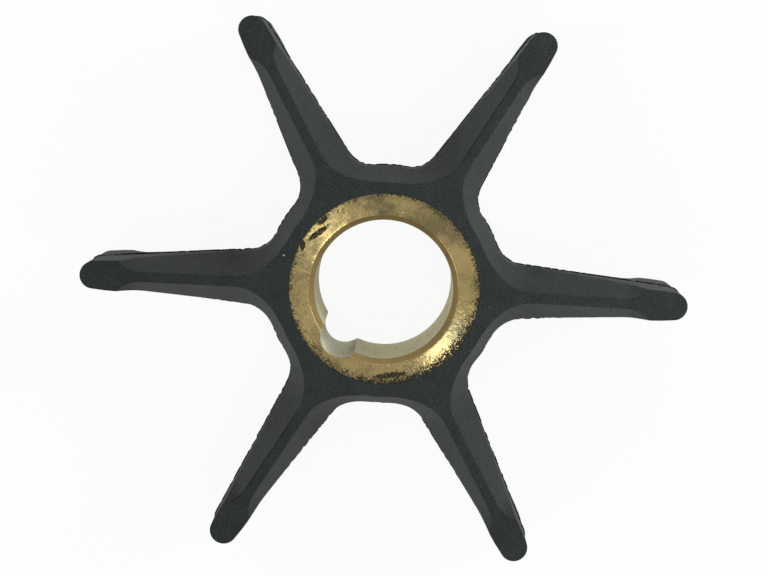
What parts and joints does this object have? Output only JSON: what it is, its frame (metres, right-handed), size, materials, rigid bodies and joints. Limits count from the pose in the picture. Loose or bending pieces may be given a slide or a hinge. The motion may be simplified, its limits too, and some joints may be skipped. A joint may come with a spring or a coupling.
{
  "type": "rubber pump impeller",
  "caption": "Flexible rubber pump impeller: straight blades with thick rounded tips around a hub, moulded on a flush brass bush with a keyed shaft bore.",
  "frame": {"origin": "centre of the shaft bore on the lower end face, which is also the middle of the footprint", "axes": "+Z along the shaft bore, from the lower end face to the upper one; one blade points along +X; the keyway lies 8.6 degrees clockwise of that blade, seen from above"},
  "size_m": [0.07, 0.061, 0.022],
  "materials": {
    "rubber": "matte, slightly grey-green, fine grain",
    "brass": "machined, patchy and worn on the end face"
  },
  "bodies": {
    "root": {"rubber_body": "rubber", "brass_bush": "brass"}
  },
  "joints": []
}
